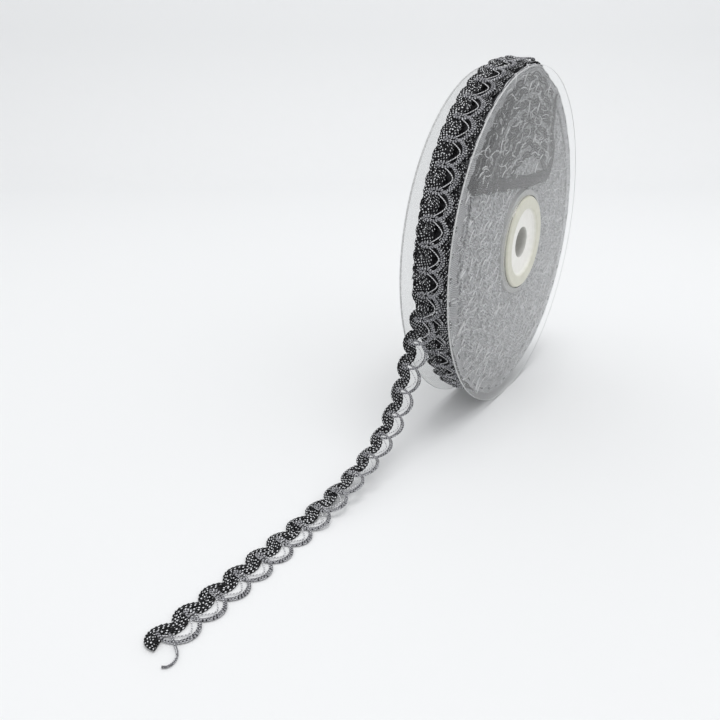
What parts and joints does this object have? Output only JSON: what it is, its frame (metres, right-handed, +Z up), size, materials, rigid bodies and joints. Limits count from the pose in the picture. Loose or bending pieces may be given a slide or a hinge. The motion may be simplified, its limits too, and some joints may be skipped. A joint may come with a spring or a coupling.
{
  "type": "roll of scalloped lace trim on a clear reel",
  "caption": "Scalloped gimp lace trim wound on a narrow reel with two clear plastic discs and a white hub, its free end run out in front.",
  "frame": {"origin": "on the surface it stands on, under the middle of the whole object's box, free end included", "axes": "+X along the reel's axis, out of the face of disc_near; -Y the way the free end runs out; +Z up"},
  "size_m": [0.024, 0.253, 0.1314],
  "materials": {
    "hub_plastic": "satin",
    "clear_plastic": "clear, slightly hazed",
    "black_thread": "ribbed gimp with metallic flecks",
    "silver_thread": "ribbed gimp with metallic sheen"
  },
  "bodies": {
    "root": {"hub": "hub_plastic", "disc_near": "clear_plastic", "disc_far": "clear_plastic", "wound_trim": "black_thread", "loose_end": "silver_thread"}
  },
  "joints": []
}
